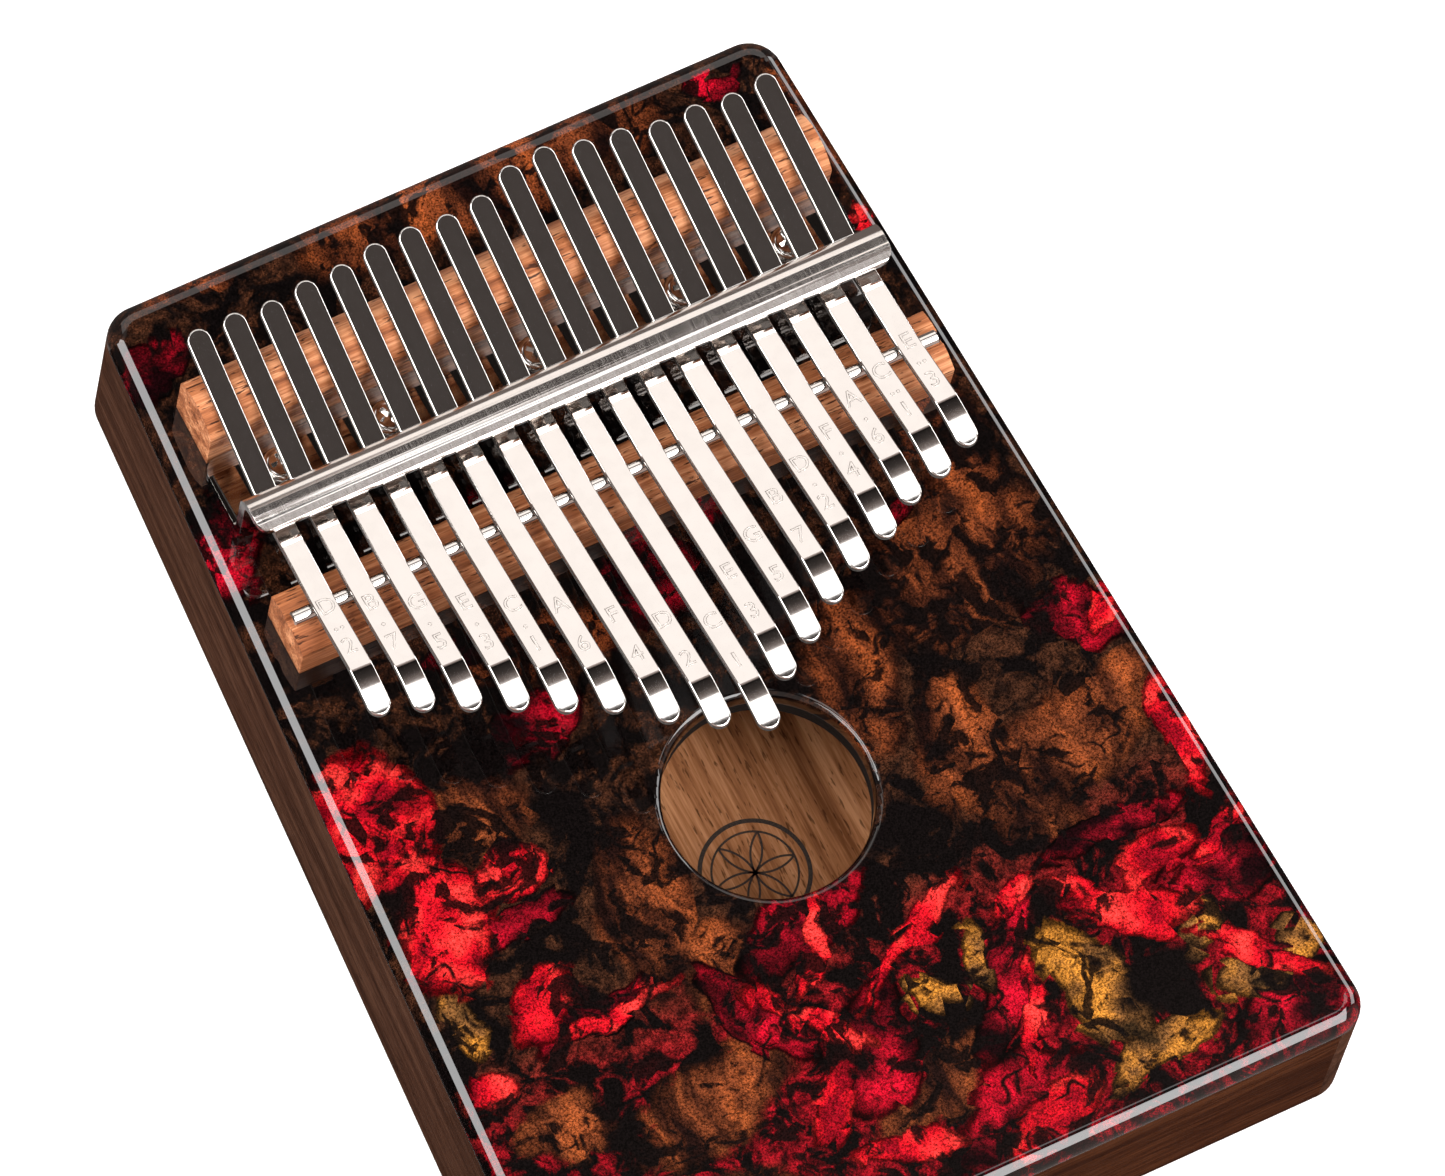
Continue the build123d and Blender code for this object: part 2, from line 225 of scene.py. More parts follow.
# ---- Tones of the cut steel and of the burnt line, in the same way ----
CUT_STEEL = ((0.3, (0.05, 0.047, 0.044)), (0.7, (0.11, 0.103, 0.097)))
CHAR = ((0.3, (0.012, 0.008, 0.006)), (0.7, (0.05, 0.03, 0.02)))


# ================================ camera, light and floor ================================

def add_object(name, data):
    """A new object, linked into the scene."""
    added = bpy.data.objects.new(name, data)
    bpy.context.scene.collection.objects.link(added)
    return added


def add_camera():
    """A long lens at the given azimuth, elevation and roll."""
    azimuth, elevation, roll = (math.radians(a) for a in (CAMERA_AZIMUTH, CAMERA_ELEVATION, CAMERA_ROLL))
    level = math.cos(elevation)
    back = Vector((math.sin(azimuth) * level, -math.cos(azimuth) * level, math.sin(elevation)))
    level_right = (-back).cross(Vector((0, 0, 1))).normalized()
    level_up = level_right.cross(-back)
    right = math.cos(roll) * level_right + math.sin(roll) * level_up
    up = back.cross(right)
    data = bpy.data.cameras.new("camera")
    data.lens = CAMERA_LENS
    data.sensor_width = CAMERA_SENSOR
    data.clip_end = CAMERA_CLIP_END
    camera = add_object("camera", data)
    turn = Matrix((right, up, back)).transposed().to_4x4()
    camera.matrix_world = Matrix.Translation(CAMERA_TARGET + back * CAMERA_DISTANCE) @ turn
    bpy.context.scene.camera = camera


def add_softbox(name, low_edge, high_edge, width, radiance):
    """A rectangular lamp that reaches from one direction to the other and faces the object."""
    low, high = (Vector(e).normalized() * STUDIO_RADIUS for e in (low_edge, high_edge))
    centre = (low + high) / 2
    tall = (high - low).normalized()
    back = (centre - centre.dot(tall) * tall).normalized()
    data = bpy.data.lights.new(name, "AREA")
    data.shape = "RECTANGLE"
    data.size = width
    data.size_y = (high - low).length
    strength = max(radiance)
    data.energy = strength * math.pi * data.size * data.size_y
    data.color = [c / strength for c in radiance]
    lamp = add_object(name, data)
    lamp.visible_camera = False
    turn = Matrix((tall.cross(back), tall, back)).transposed().to_4x4()
    lamp.matrix_world = Matrix.Translation(centre) @ turn


def add_world():
    """A dim room, whose brightness changes from the playing end to the far end."""
    world = bpy.data.worlds.new("room")
    world.use_nodes = True
    bpy.context.scene.world = world
    g = Graph(world.node_tree)
    direction = g.add("ShaderNodeTexCoord").outputs["Generated"]
    lean = g.coordinate(direction, "Y")
    place = g.math("MULTIPLY_ADD", lean, 0.5, 0.5)
    stops = [((y + 1) / 2, [v * t for t in ROOM_TINT]) for y, v in ROOM]
    background = node_of(world.node_tree, "BACKGROUND")
    g.link(g.ramp(place, stops), background.inputs["Color"])


def add_floor():
    """A pale floor that gives off some light, and a white dome that only the camera sees."""
    mesh = bpy.data.meshes.new("floor")
    r = BACKDROP_RADIUS
    mesh.from_pydata([(-r, -r, 0), (r, -r, 0), (r, r, 0), (-r, r, 0)], [], [(0, 1, 2, 3)])
    floor = add_object("floor", mesh)
    g, shader = new_material("pale_floor")
    shader.inputs["Base Color"].default_value = FLOOR_COLOUR
    shader.inputs["Roughness"].default_value = 0.9
    shader.inputs["Specular IOR Level"].default_value = 0.0
    shader.inputs["Emission Color"].default_value = WHITE
    shader.inputs["Emission Strength"].default_value = FLOOR_GLOW
    mesh.materials.append(g.material)
    floor.visible_glossy = False
    dome_form = bmesh.new()
    bmesh.ops.create_icosphere(dome_form, subdivisions=4, radius=r)
    dome_mesh = bpy.data.meshes.new("backdrop")
    dome_form.to_mesh(dome_mesh)
    dome_form.free()
    dome = add_object("backdrop", dome_mesh)
    g, shader = new_material("pale_backdrop")
    shader.inputs["Base Color"].default_value = BLACK
    shader.inputs["Emission Color"].default_value = WHITE
    shader.inputs["Emission Strength"].default_value = BACKDROP_GLOW
    dome_mesh.materials.append(g.material)
    dome.visible_glossy = False
    dome.visible_diffuse = False
    dome.visible_shadow = False
    dome.visible_transmission = False


# ================================ node graphs ================================

class Graph:
    """A short way to write node graphs. A value given for an input is a socket or a constant."""

    def __init__(self, tree, material=None):
        self.tree = tree
        self.material = material

    def link(self, source, target):
        self.tree.links.new(source, target)

    def feed(self, target, value):
        if isinstance(value, bpy.types.NodeSocket):
            self.link(value, target)
        elif hasattr(target.default_value, "__len__") and len(target.default_value) == 4 and len(value) == 3:
            target.default_value = (*value, 1.0)
        else:
            target.default_value = value

    def add(self, kind, settings=None, **inputs):
        node = self.tree.nodes.new(kind)
        for name, value in (settings or {}).items():
            setattr(node, name, value)
        for name, value in inputs.items():
            self.feed(node.inputs[name.replace("_", " ")], value)
        return node

    def coordinate(self, vector, axis):
        return self.add("ShaderNodeSeparateXYZ", Vector=vector).outputs[axis]

    def centred(self, colour):
        """A pattern of colours as a vector, moved so that its middle is at zero."""
        return self.vector("SUBTRACT", colour, (0.5, 0.5, 0.5))

    def math(self, operation, *values):
        node = self.add("ShaderNodeMath", {"operation": operation})
        for target, value in zip(node.inputs, values):
            self.feed(target, value)
        return node.outputs[0]

    def vector(self, operation, *values, output="Vector"):
        node = self.add("ShaderNodeVectorMath", {"operation": operation})
        for target, value in zip(node.inputs, values):
            self.feed(target, value)
        return node.outputs[output]

    def scale(self, vector, factor):
        node = self.add("ShaderNodeVectorMath", {"operation": "SCALE"}, Vector=vector, Scale=factor)
        return node.outputs["Vector"]

    def mix(self, share, a, b, blend="MIX"):
        node = self.add("ShaderNodeMix", {"data_type": "RGBA", "blend_type": blend})
        for place, value in ((0, share), (6, a), (7, b)):
            self.feed(node.inputs[place], value)
        return node.outputs[2]

    def ramp(self, place, stops):
        """A colour ramp. A stop's colour is three numbers, or one for a grey."""
        node = self.add("ShaderNodeValToRGB", Fac=place)
        elements = node.color_ramp.elements
        while len(elements) < len(stops):
            elements.new(1.0)
        for element, (position, colour) in zip(elements, stops):
            element.position = position
            element.color = (*colour, 1.0) if hasattr(colour, "__len__") else (colour, colour, colour, 1.0)
        return node.outputs["Color"]

    def step(self, value, low, high, first=0.0, last=1.0):
        """Goes smoothly from first to last as the value goes from low to high."""
        node = self.add("ShaderNodeMapRange", {"interpolation_type": "SMOOTHSTEP"})
        for name, number in (("Value", value), ("From Min", low), ("From Max", high), ("To Min", first),
                             ("To Max", last)):
            self.feed(node.inputs[name], number)
        return node.outputs["Result"]

    def place(self, stretch=(1.0, 1.0, 1.0)):
        """The point on the object in millimetres, times stretch."""
        point = self.add("ShaderNodeTexCoord").outputs["Object"]
        return self.vector("MULTIPLY", point, tuple(s / MM for s in stretch))

    def noise(self, point, scale, detail=2.0, roughness=0.5, distortion=0.0, output="Fac"):
        node = self.add("ShaderNodeTexNoise", Vector=point, Scale=scale, Detail=detail, Roughness=roughness,
                        Distortion=distortion)
        return node.outputs[output]

    def cells(self, point, scale, feature="F1", output="Distance"):
        node = self.add("ShaderNodeTexVoronoi", {"feature": feature}, Vector=point, Scale=scale)
        return node.outputs[output]

    def bump(self, height, strength, distance):
        node = self.add("ShaderNodeBump", Height=height, Strength=strength, Distance=distance * MM)
        return node.outputs["Normal"]


def node_of(tree, kind):
    """The first node of a type."""
    return next(n for n in tree.nodes if n.type == kind)


def new_material(name):
    """A material, as its graph and its principled shader."""
    material = bpy.data.materials.new(name)
    material.use_nodes = True
    return Graph(material.node_tree, material), node_of(material.node_tree, "BSDF_PRINCIPLED")


# ================================ materials ================================

def leaves(g, point, patches):
    """How far a point is from the nearest patch: 0 in its middle, 1 at its outline, LEAF_REACH at most."""
    nearest = None
    for x, y, length, width, turn in patches:
        node = g.add("ShaderNodeTexGradient", {"gradient_type": "SPHERICAL"}, Vector=point)
        mapping = node.texture_mapping
        mapping.vector_type = "TEXTURE"
        mapping.translation = (x, y - HALF_LENGTH, 0)
        mapping.rotation = (0, 0, math.radians(turn))
        mapping.scale = (length * LEAF_REACH, width * LEAF_REACH, LEAF_DEPTH)
        cover = node.outputs["Fac"]
        nearest = cover if nearest is None else g.math("MAXIMUM", nearest, cover)
    return g.math("MULTIPLY_ADD", nearest, -LEAF_REACH, LEAF_REACH)


def ground_print(g, bent, torn, blotch):
    """What lies between the leaves: blots of ink over dim red at the playing end and dim brown elsewhere."""
    grain = g.noise(bent, 0.5, 5.0, 0.62)
    dim_brown = g.ramp(grain, DIM_BROWN)
    dim_red = g.ramp(grain, DIM_RED)
    ground = g.mix(g.step(g.coordinate(torn, "Y"), RED_GROUND_Y, BROWN_GROUND_Y), dim_red, dim_brown)
    return g.mix(g.step(blotch, 0.45, 0.54), INK, ground)


def leaf_paints(g, bent):
    """The colours of the copper, dark red, bright red and tan leaves."""
    fibres = g.add("ShaderNodeMapping", Vector=bent, Rotation=(0, 0, math.radians(FIBRE_TURN)),
                   Scale=FIBRE_STRETCH)
    copper = g.ramp(g.noise(fibres.outputs["Vector"], 0.1, 4.0, 0.6), COPPER)
    dark_red = g.ramp(g.noise(bent, 0.12, 3.0, 0.55), DARK_RED)
    bright_red = g.ramp(g.noise(bent, 0.15, 2.0), BRIGHT_RED)
    tan = g.ramp(g.noise(bent, 0.11, 3.0), TAN)
    return copper, dark_red, bright_red, tan


def printed_resin():
    """Clear gloss resin over a printed pattern of torn leaves in reds, copper, tan and black."""
    g, shader = new_material("printed_resin")
    point = g.place()
    broad = g.centred(g.noise(point, 0.09, 2.0, output="Color"))
    fine = g.centred(g.noise(point, 0.42, 4.0, 0.62, output="Color"))
    shard = g.centred(g.cells(point, 0.22, output="Color"))
    bent = g.vector("ADD", point, g.scale(broad, 6.5))
    torn = g.vector("ADD", g.vector("ADD", bent, g.scale(fine, 1.5)), g.scale(shard, 2.2))

    blotch = g.noise(bent, 0.13, 5.0, 0.6, 0.8)
    colour = ground_print(g, bent, torn, blotch)
    copper, dark_red, bright_red, tan = leaf_paints(g, bent)
    for patches, paint, outline, fade in (
            (COPPER_LEAVES, copper, 0.45, 0.75), (DARK_RED_LEAVES, dark_red, 0.06, 0.98),
            (TAN_LEAVES, tan, 0.12, 1.0), (BRIGHT_LEAVES, bright_red, 0.12, 1.0)):
        reach = leaves(g, torn, patches)
        shaded = g.mix(1.0, paint, g.ramp(reach, ((0.5, 1.0), (0.85, 0.65), (0.95, outline))), "MULTIPLY")
        colour = g.mix(g.step(reach, fade, 1.08, 1.0, 0.0), colour, shaded)
    colour = g.mix(g.step(leaves(g, torn, BLACK_LEAVES), 0.6, 1.1, 1.0, 0.0), colour, INK)

    tear = g.noise(torn, 0.105, 4.0, 0.58, 1.5)
    colour = g.mix(g.step(tear, 0.50, 0.58, 0.0, 0.96), colour, INK)
    stem = g.cells(g.vector("ADD", point, g.scale(broad, 30.0)), 0.055, "DISTANCE_TO_EDGE")
    rib = g.cells(g.vector("ADD", bent, g.scale(fine, 3.0)), 0.13, "DISTANCE_TO_EDGE")
    lines = g.math("MAXIMUM", g.step(stem, 0.01, 0.05, 0.97, 0.0), g.step(rib, 0.0, 0.04, 0.3, 0.0))
    colour = g.mix(g.math("MULTIPLY", lines, g.step(blotch, 0.40, 0.5, 1.0, 0.35)), colour, INK)
    speckle = g.noise(point, 3.4, 2.0, 0.7)
    colour = g.mix(1.0, colour, g.ramp(speckle, ((0.36, 0.16), (0.5, 0.68), (0.62, 1.3))), "MULTIPLY")

    above_print = g.step(g.coordinate(point, "Z"), RESIN_UNDERSIDE + 0.3, RESIN_UNDERSIDE + 0.45)
    colour = g.mix(above_print, CLEAR_EDGE, colour)
    g.link(colour, shader.inputs["Base Color"])
    shader.inputs["Roughness"].default_value = 0.45
    shader.inputs["Specular IOR Level"].default_value = 0.0
    shader.inputs["Coat Weight"].default_value = 1.0
    shader.inputs["Coat Roughness"].default_value = 0.015
    shader.inputs["Coat IOR"].default_value = 1.6
    return g.material


def along_grain(axis, stretch):
    """A stretch along one axis only."""
    return tuple(stretch if n == axis else 1.0 for n in range(3))


def wood(name):
    """One of the straight-grained woods."""
    g, shader = new_material(name)
    axis, tones, pores, roughness, gloss = WOODS[name]
    point = g.place(along_grain(axis, GRAIN_STRETCH))
    sway = g.scale(g.centred(g.noise(point, 0.12, 2.0, output="Color")), 5.0)
    bands = g.noise(g.vector("ADD", point, sway), 0.34, 4.0, 0.6)
    fibres = g.noise(point, 2.4, 3.0, 0.65)
    share = g.math("ADD", g.math("MULTIPLY", bands, 0.62), g.math("MULTIPLY", fibres, 0.38))
    colour = g.ramp(share, ((0.36, tones[0]), (0.5, tones[1]), (0.62, tones[2])))
    pore = g.step(g.noise(g.place(along_grain(axis, PORE_STRETCH)), 2.1, 2.0, 0.5), 0.60, 0.68)
    colour = g.mix(g.math("MULTIPLY", pore, pores), colour, tuple(t * 0.3 for t in tones[0]))
    g.link(colour, shader.inputs["Base Color"])
    g.link(g.step(fibres, 0.2, 0.8, roughness + 0.1, roughness - 0.1), shader.inputs["Roughness"])
    relief = g.math("SUBTRACT", fibres, g.math("MULTIPLY", pore, 1.5))
    g.link(g.bump(relief, 0.35, 0.12), shader.inputs["Normal"])
    shader.inputs["Specular IOR Level"].default_value = gloss
    return g.material


def darken_bore(material):
    """Makes the wall of the sound hole nearly black."""
    g = Graph(material.node_tree, material)
    shader = node_of(g.tree, "BSDF_PRINCIPLED")
    from_axis = g.vector("MULTIPLY", g.vector("SUBTRACT", g.place(), (0, HOLE_Y, 0)), (1, 1, 0))
    reach = g.vector("LENGTH", from_axis, output="Value")
    bare = shader.inputs["Base Color"].links[0].from_socket
    # the base colour on the wall of the sound hole is made nearly black
    darkened = g.mix(g.step(reach, HOLE_RADIUS + 0.2, HOLE_RADIUS + 0.4), BORE_DARK, bare)
    g.link(darkened, shader.inputs["Base Color"])


def plated(name):
    """Bright plated metal with hairlines along y and faint clouding, more polished lower down, where its
    colour is darkened as painted shade.
    """
    g, shader = new_material(name)
    colour, roughness, brushed, painted_shade_below = METALS[name]
    shader.inputs["Metallic"].default_value = 1.0
    cloud = g.noise(g.place(), 0.35, 3.0)
    tint = g.mix(g.step(cloud, 0.35, 0.7, 0.0, 0.5), colour, tuple(c * 0.93 for c in colour))
    hairlines = g.noise(g.place((1.0, 0.02, 1.0)), 9.0, 2.0)
    dulled = g.step(hairlines, 0.3, 0.8, roughness * 0.8, roughness * 1.3)
    # painted shade: below the given height the colour falls to 0.3 of itself, darkening the bracket's foot
    # between the tines
    upper = g.step(g.coordinate(g.place(), "Z"), painted_shade_below - 1.0, painted_shade_below + 1.0, 0.25, 1.0)
    g.link(g.mix(upper, tuple(c * 0.3 for c in colour), tint), shader.inputs["Base Color"])
    g.link(g.math("MULTIPLY", dulled, upper), shader.inputs["Roughness"])
    g.link(g.bump(hairlines, brushed, 0.01), shader.inputs["Normal"])
    return g.material


def sheared_steel():
    """The dull cut sides of a steel strip."""
    g, shader = new_material("sheared_steel")
    grain = g.noise(g.place((1.0, 1.0, 0.2)), 4.0, 3.0)
    g.link(g.ramp(grain, CUT_STEEL), shader.inputs["Base Color"])
    shader.inputs["Roughness"].default_value = 0.7
    shader.inputs["Specular IOR Level"].default_value = 0.0
    return g.material


def burnt_line():
    """Scorched wood, for the drawn rosette inside the box."""
    g, shader = new_material("burnt_line")
    char = g.noise(g.place(), 3.0, 3.0)
    g.link(g.ramp(char, CHAR), shader.inputs["Base Color"])
    shader.inputs["Roughness"].default_value = 0.85
    return g.material


# ================================ carried-over CAD nodes ================================

def dress(node, material, edge=0.0):
    """Gives a CAD node its material, and rounds its sharp edges slightly."""
    piece = NODES[node]
    for material_slot in piece.material_slots:
        material_slot.material = material
    if edge:
        weld = piece.modifiers.new("weld", "WELD")
        weld.merge_threshold = WELD_REACH * MM
        bevel = piece.modifiers.new("edge", "BEVEL")
        bevel.width = edge * MM
        bevel.segments = 2
        bevel.limit_method = "ANGLE"
        bevel.angle_limit = math.radians(SHARP_ANGLE)
        bevel.harden_normals = True


def dress_frame():
    """Materials for every CAD node that stays visible."""
    walnut = wood("walnut")
    walnut_end = wood("walnut_end")
    inner = wood("inner_wood")
    maple = wood("plain_maple")
    darken_bore(maple)
    mahogany = wood("mahogany")
    nickel = plated("nickel")
    bright = plated("bright_rod")
    screw = plated("screw_steel")
    dress("resin_top", printed_resin())
    dress("top_board", maple)
    dress("screw_block", maple)
    dress("back_board", inner)
    for node in ("side_left", "side_right"):
        dress(node, walnut, WALL_EDGE)
    for node in ("end_front", "end_rear"):
        dress(node, walnut_end, WALL_EDGE)
    for node in ("rear_bridge", "front_bridge"):
        dress(node, mahogany, BRIDGE_EDGE)
    dress("bracket", nickel, BRACKET_EDGE)
    dress("bridge_rod", bright)
    dress("bracket_screws", screw, SCREW_EDGE)


# ================================ tines ================================

def rounded_corner(y, corner, before, after, half):
    """How much a rounded corner adds to the sharp one at y.

    before is the slope on its rear side and after the slope on its side towards the tip.
    """
    if abs(y - corner) >= half:
        return 0.0
    return (before - after) / (4 * half) * (abs(y - corner) - half) ** 2


class TineLine:
    """The underside of a tine as z for y, in millimetres, from the rear end to the tip."""

    def __init__(self, rear_y, tip_y):
        self.rear_y, self.tip_y = rear_y, tip_y
        self.slot_z = BOARD_Z + SLOT_LIFT
        crest_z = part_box("rear_bridge")[1].z / MM + REAR_GAP
        self.rod_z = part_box("bridge_rod")[1].z / MM + REST_GAP
        self.rear_slope = (crest_z - self.slot_z) / (REAR_BRIDGE_Y - SLOT_Y)
        self.middle_slope = (self.slot_z - self.rod_z) / (SLOT_Y - ROD_Y)
        self.bend_y = tip_y + TIP_LENGTH
        self.corners = (
            (SLOT_Y, self.rear_slope, self.middle_slope, SLOT_CORNER),
            (ROD_Y, self.middle_slope, -FREE_SLOPE, ROD_CORNER),
            (self.bend_y, -FREE_SLOPE, -TIP_FIRST_SLOPE, TIP_CORNER))

    def height(self, y):
        if y >= SLOT_Y:
            z = self.slot_z + (y - SLOT_Y) * self.rear_slope
        elif y >= ROD_Y:
            z = self.slot_z + (y - SLOT_Y) * self.middle_slope
        elif y >= self.bend_y:
            z = self.rod_z + (ROD_Y - y) * FREE_SLOPE
        else:
            ahead = self.bend_y - y
            curve = (TIP_LAST_SLOPE - TIP_FIRST_SLOPE) / (2 * TIP_LENGTH)
            z = self.rod_z + (ROD_Y - self.bend_y) * FREE_SLOPE + ahead * TIP_FIRST_SLOPE + curve * ahead ** 2
        for corner in self.corners:
            z += rounded_corner(y, *corner)
        return z

    def stations(self):
        """Where the straight-sided part is divided: closely where it bends, and a few times elsewhere."""
        radius = TINE_WIDTH / 2
        low, high = self.tip_y + radius, self.rear_y - radius
        marks = [low, high]
        for corner, _, _, half in self.corners:
            marks += [corner + half * step / CORNER_STEPS for step in range(-CORNER_STEPS, CORNER_STEPS + 1)]
        split = ROD_Y - SPLIT_AHEAD
        marks += [split + BLEND_HALF * step / BLEND_STEPS for step in range(-BLEND_STEPS, BLEND_STEPS + 1)]
        # the curved tip, from just behind its round end to just before the bend
        marks += [self.tip_y + TIP_LENGTH * step / SPAN_STEPS for step in range(3, 7)]
        marks += [low + (high - low) * step / SPAN_STEPS for step in range(1, SPAN_STEPS)]
        kept = []
        for y in sorted(m for m in marks if low <= m <= high):
            if not kept or y - kept[-1] > STATION_GAP:
                kept.append(y)
        return kept


def edge_profile(edge):
    """A rounded edge as (inset from the side, depth from the face), from the face to the side."""
    profile = [(edge + EDGE_FLAT, 0.0)]
    for step in range(EDGE_STEPS + 1):
        angle = math.pi / 2 * step / EDGE_STEPS
        profile.append((edge * (1 - math.sin(angle)), edge * (1 - math.cos(angle))))
    return profile + [(0.0, edge + EDGE_FLAT)]


def half_outline(stations, reach):
    """The right half of an outline this far from the middle line, from the tip to the rear end."""
    side = []
    for step in range(END_STEPS + 1):
        angle = math.pi / 2 * (1 - step / END_STEPS)
        side.append((reach * math.cos(angle), stations[0] - reach * math.sin(angle)))
    side += [(reach, y) for y in stations[1:-1]]
    for step in range(END_STEPS + 1):
        angle = math.pi / 2 * step / END_STEPS
        side.append((reach * math.cos(angle), stations[-1] + reach * math.sin(angle)))
    return side


def tine_rings(line):
    """Right and left halves of rings of (x, y, height), from the top of the tine to its underside."""
    stations = line.stations()
    profile = [(inset, TINE_THICKNESS - depth) for inset, depth in edge_profile(TINE_EDGE)]
    profile += edge_profile(TINE_LOWER_EDGE)[::-1]
    for inset, height in profile:
        side = half_outline(stations, TINE_WIDTH / 2 - inset)
        yield [(x, y, height) for x, y in side], [(-x, y, height) for x, y in side[1:-1]]


def tine_form(line):
    """The strip itself as a bmesh, before it is turned to its place in the fan."""
    form = bmesh.new()
    rings = []
    for right_side, left_side in tine_rings(line):
        right, left = (
            [form.verts.new((x, y, line.height(y) + height)) for x, y, height in side]
            for side in (right_side, left_side))
        rings.append((right, [right[0]] + left + [right[-1]]))
    for level, ((right, left), (next_right, next_left)) in enumerate(zip(rings, rings[1:])):
        finish = SHEARED if level > EDGE_STEPS + 1 else POLISHED  # cut sides lie below the upper edge
        for k in range(len(right) - 1):
            for corners in ((right[k], next_right[k], next_right[k + 1], right[k + 1]),
                            (left[k + 1], next_left[k + 1], next_left[k], left[k])):
                form.faces.new(corners).material_index = finish
    for (right, left), up in ((rings[0], True), (rings[-1], False)):
        for k in range(len(right) - 1):
            corners = [right[k], right[k + 1], left[k + 1], left[k]]
            corners = [v for n, v in enumerate(corners) if v not in corners[:n]]
            form.faces.new(corners if up else reversed(corners))
    for face in form.faces:
        face.smooth = True
    return form


def glyph_mesh(text):
    """The outline of one letter or digit as a fine line, centred on the origin."""
    curve = bpy.data.curves.new("glyph", "FONT")
    curve.body = text
    curve.size = GLYPH_SIZE
    curve.align_x = "CENTER"
    curve.align_y = "CENTER"
    curve.fill_mode = "NONE"
    curve.resolution_u = GLYPH_RESOLUTION
    curve.bevel_depth = GLYPH_LINE
    curve.bevel_resolution = 1
    return mesh_of(curve)


def mesh_of(curve):
    """A curve or text turned into a mesh; the curve is removed."""
    holder = add_object("holder", curve)
    mesh = bpy.data.meshes.new_from_object(holder.evaluated_get(bpy.context.evaluated_depsgraph_get()))
    bpy.data.objects.remove(holder)
    return mesh


def dot_mesh():
    """The outline of an octave dot."""
    curve = bpy.data.curves.new("dot", "CURVE")
    curve.dimensions = "3D"
    curve.bevel_depth = GLYPH_LINE
    curve.bevel_resolution = 1
    spline = curve.splines.new("POLY")
    spline.points.add(DOT_SIDES - 1)
    for n, point in enumerate(spline.points):
        angle = 2 * math.pi * n / DOT_SIDES
        point.co = (DOT_RADIUS * math.cos(angle), DOT_RADIUS * math.sin(angle), 0, 1)
    spline.use_cyclic_u = True
    return mesh_of(curve)


def stamp(form, line, mesh, x, y):
    """Lays a glyph on the top of the tine, sunk so that only its upper edge shows."""
    first, first_face = len(form.verts), len(form.faces)
    form.from_mesh(mesh)
    form.verts.ensure_lookup_table()
    form.faces.ensure_lookup_table()
    for face in form.faces[first_face:]:
        face.material_index = ENGRAVED
    for vert in form.verts[first:]:
        vert.co.x += x
        vert.co.y += y
        vert.co.z += line.height(vert.co.y) + TINE_THICKNESS - GLYPH_SINK
    bpy.data.meshes.remove(mesh)


def make_tine(number, note, finishes):
    """One continuous spring strip, from its rear end over both bridges to the tip."""
    shank, tongue = f"tine_{number:02d}_shank", f"tine_{number:02d}_tongue"
    offset = number - (TINE_COUNT + 1) / 2
    turn = offset * TINE_FAN
    rear_y = SLOT_Y + (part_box(shank)[1].y / MM - SLOT_Y) / math.cos(turn)
    tip_y = SLOT_Y + (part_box(tongue)[0].y / MM - SLOT_Y) / math.cos(turn)
    line = TineLine(rear_y, tip_y)
    form = tine_form(line)
    letter, digit, dots = note
    stamp(form, line, glyph_mesh(letter), 0, tip_y + LETTER_AT)
    stamp(form, line, glyph_mesh(digit), 0, tip_y + DIGIT_AT)
    for dot in range(dots):
        stamp(form, line, dot_mesh(), (dot - (dots - 1) / 2) * DOT_SPACING, tip_y + DOTS_AT)
    place = Matrix.Translation((offset * TINE_PITCH, SLOT_Y, 0)) @ Matrix.Rotation(turn, 4, "Z")
    place = Matrix.Scale(MM, 4) @ place @ Matrix.Translation((0, -SLOT_Y, 0))
    form.transform(place)
    mesh = bpy.data.meshes.new(f"tine_{number:02d}")
    form.to_mesh(mesh)
    form.free()
    for finish in finishes:
        mesh.materials.append(finish)
    tine = add_object(f"tine_{number:02d}", mesh)
    split = ROD_Y - SPLIT_AHEAD
    ends = [place @ Vector((0, split + side * BLEND_HALF, line.height(split))) for side in (1, -1)]
    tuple(ends[0])
    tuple(ends[1])
    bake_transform(tine)
    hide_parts(shank, tongue)


# ================================ rosette inside the box ================================

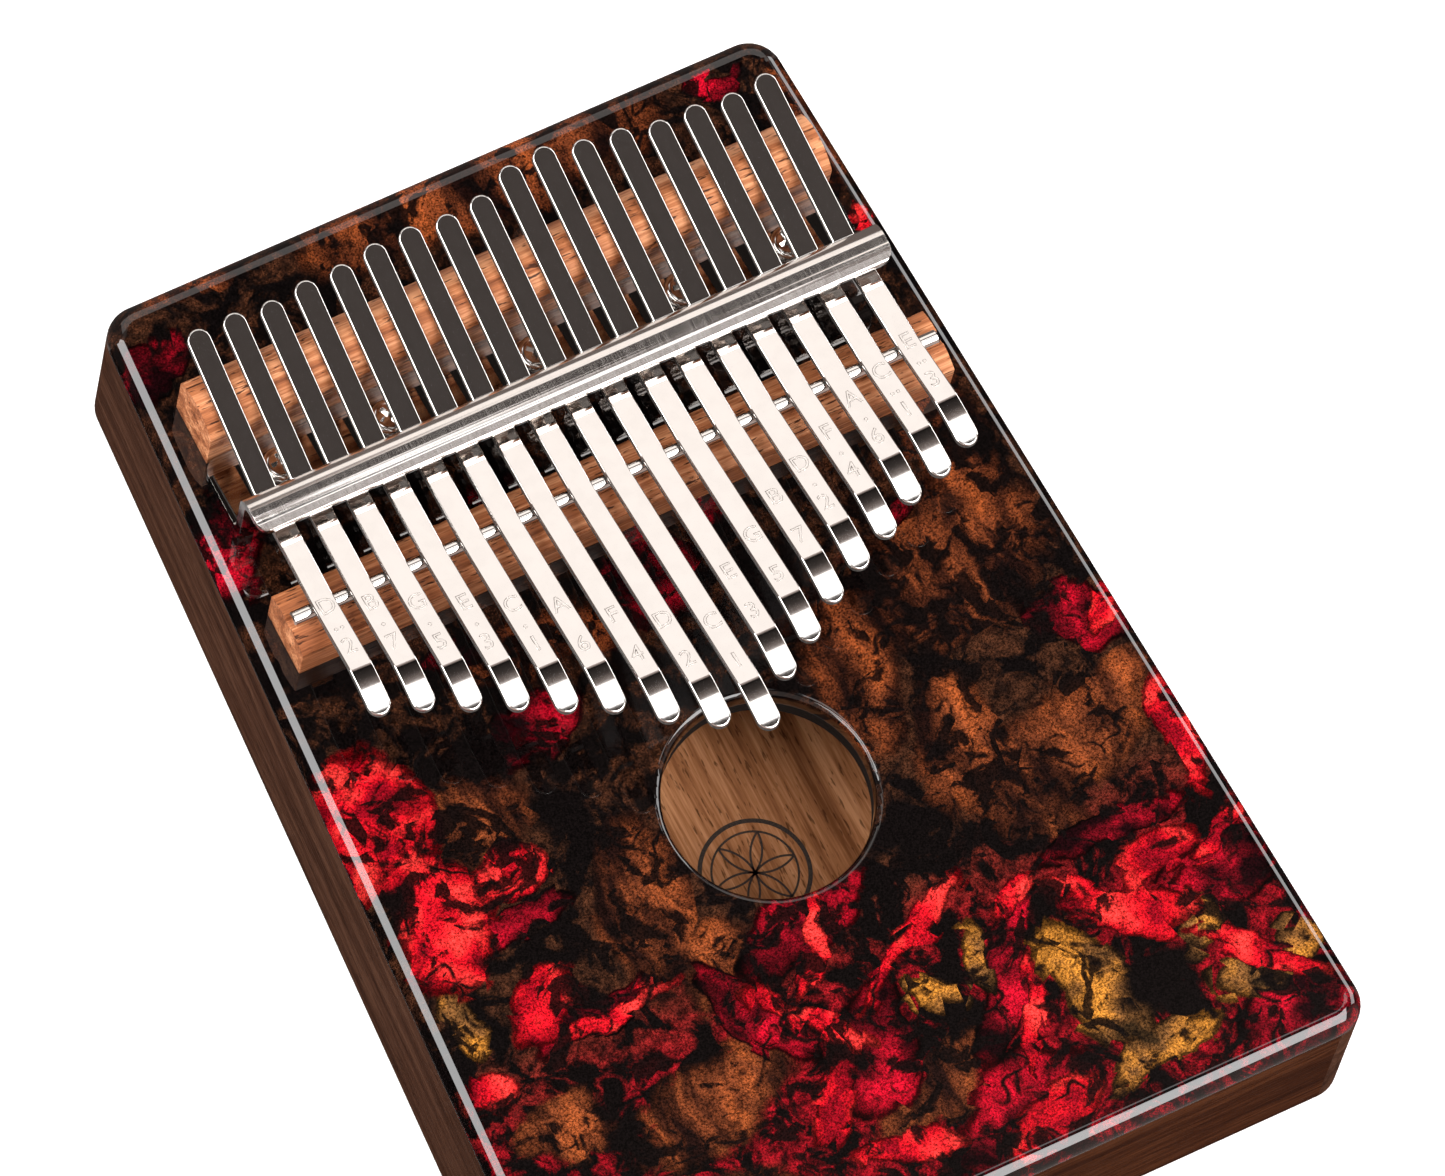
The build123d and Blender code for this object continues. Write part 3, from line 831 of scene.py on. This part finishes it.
def ribbon(form, centre, radius, start, end, width, z):
    """A thin flat arc, start and end in degrees."""
    steps = max(RIBBON_STEPS, int(abs(end - start) / RIBBON_TURN))
    corners = []
    for step in range(steps + 1):
        angle = math.radians(start + (end - start) * step / steps)
        for reach, height in ((-0.5, 0), (0.5, 0), (0.5, 1), (-0.5, 1)):
            r = radius + reach * width
            x, y = centre[0] + r * math.cos(angle), centre[1] + r * math.sin(angle)
            corners.append(form.verts.new((x, y, z + height * ROSETTE_RELIEF)))
    for step in range(steps):
        a, b = corners[4 * step:4 * step + 4], corners[4 * step + 4:4 * step + 8]
        for k in range(4):
            form.faces.new((a[k], b[k], b[(k + 1) % 4], a[(k + 1) % 4]))
    form.faces.new(corners[:4])
    form.faces.new(reversed(corners[-4:]))


def make_rosette():
    """A plain six-petal compass rosette drawn on the inside of the back."""
    form = bmesh.new()
    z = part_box("back_board")[1].z / MM
    centre = (0.0, ROSETTE_Y)
    petal = ROSETTE_RADIUS - ROSETTE_INSET
    ribbon(form, centre, ROSETTE_RADIUS, 0, 360, ROSETTE_LINE, z)
    ribbon(form, centre, petal, 0, 360, ROSETTE_LINE / 2, z)
    for k in range(6):
        angle = math.radians(60 * k)
        around = (centre[0] + petal * math.cos(angle), centre[1] + petal * math.sin(angle))
        ribbon(form, around, petal, 60 * k + 120, 60 * k + 240, ROSETTE_LINE / 2, z)
    form.transform(Matrix.Scale(MM, 4))
    mesh = bpy.data.meshes.new("inner_rosette")
    form.to_mesh(mesh)
    form.free()
    mesh.materials.append(burnt_line())
    rosette = add_object("inner_rosette", mesh)
    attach(rosette, "root")


def main():
    """The studio, the materials of the CAD nodes, the tines and the rosette."""
    bpy.context.scene.view_settings.view_transform = "Standard"
    add_camera()
    add_world()
    add_floor()
    for name, softbox in SOFTBOXES.items():
        add_softbox(name, *softbox)
    dress_frame()
    finishes = (plated("tine_steel"), plated("engraved_steel"), sheared_steel())
    for number, note in enumerate(NOTES, 1):
        make_tine(number, note, finishes)
    make_rosette()


main()
